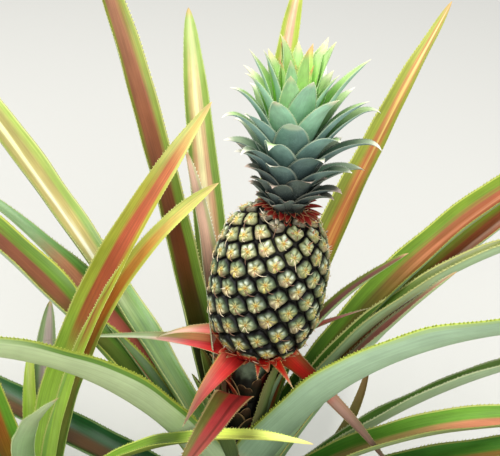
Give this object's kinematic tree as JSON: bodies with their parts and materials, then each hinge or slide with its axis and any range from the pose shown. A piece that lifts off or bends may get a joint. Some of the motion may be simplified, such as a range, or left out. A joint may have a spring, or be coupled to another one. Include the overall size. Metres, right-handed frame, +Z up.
{
  "type": "pineapple plant",
  "caption": "Fruiting pineapple plant rooted in the ground: rosette of long spiny channelled leaves, leafy side shoot, short stalk, red bracts, barrel fruit and leafy crown.",
  "frame": {"origin": "centre of the flat cut under the main stem, at ground level", "axes": "+Z up, -Y towards the viewer, +X to the viewer's right"},
  "size_m": [1.2433, 1.1467, 0.8288],
  "materials": {
    "leaf": "waxy leaf, green margins with a red-brown centre stripe, grey-green below",
    "shoot_leaf": "waxy leaf, yellow-green margins with an orange-red centre stripe",
    "bract": "red papery bract with a pale dry tip",
    "fruit": "unripe fruit, grey-green eyes with yellow-brown centres and dark grooves",
    "crown": "matt grey-green to blue-green leaf with a waxy bloom",
    "crown_heart": "fresh light green leaf",
    "stem": "rough brown stem with leaf scars",
    "stalk": "green-brown fruit stalk"
  },
  "bodies": {
    "root": {"stem": "stem", "peduncle": "stalk", "fruit": "fruit", "shoot_stem": "stem", "crown_tier_1": "crown", "crown_tier_2": "crown", "crown_tier_3": "crown", "crown_tier_4": "crown", "crown_tier_5": "crown_heart", "crown_tier_6": "crown_heart", "bract_1": "bract", "bract_2": "bract", "bract_3": "bract", "bract_4": "bract", "bract_5": "bract", "bract_6": "bract", "bract_7": "bract", "bract_8": "bract", "bract_9": "bract", "leaf_01": "leaf", "leaf_02": "leaf", "leaf_03": "leaf", "leaf_04": "leaf", "leaf_05": "leaf", "leaf_06": "leaf", "leaf_07": "leaf", "leaf_08": "leaf", "leaf_09": "leaf", "leaf_10": "leaf", "leaf_11": "leaf", "leaf_12": "leaf", "leaf_13": "leaf", "leaf_14": "leaf", "leaf_15": "leaf", "leaf_16": "leaf", "leaf_17": "leaf", "leaf_18": "leaf", "leaf_19": "leaf", "leaf_20": "bract", "leaf_21": "leaf", "leaf_22": "leaf", "leaf_23": "leaf", "leaf_24": "leaf", "leaf_25": "leaf", "leaf_26": "leaf", "leaf_27": "leaf", "leaf_28": "leaf", "shoot_leaf_1": "shoot_leaf", "shoot_leaf_2": "shoot_leaf", "shoot_leaf_3": "shoot_leaf", "shoot_leaf_4": "shoot_leaf", "shoot_leaf_5": "shoot_leaf", "shoot_leaf_6": "shoot_leaf", "shoot_leaf_7": "shoot_leaf", "shoot_leaf_8": "shoot_leaf", "shoot_leaf_9": "shoot_leaf"}
  },
  "joints": []
}
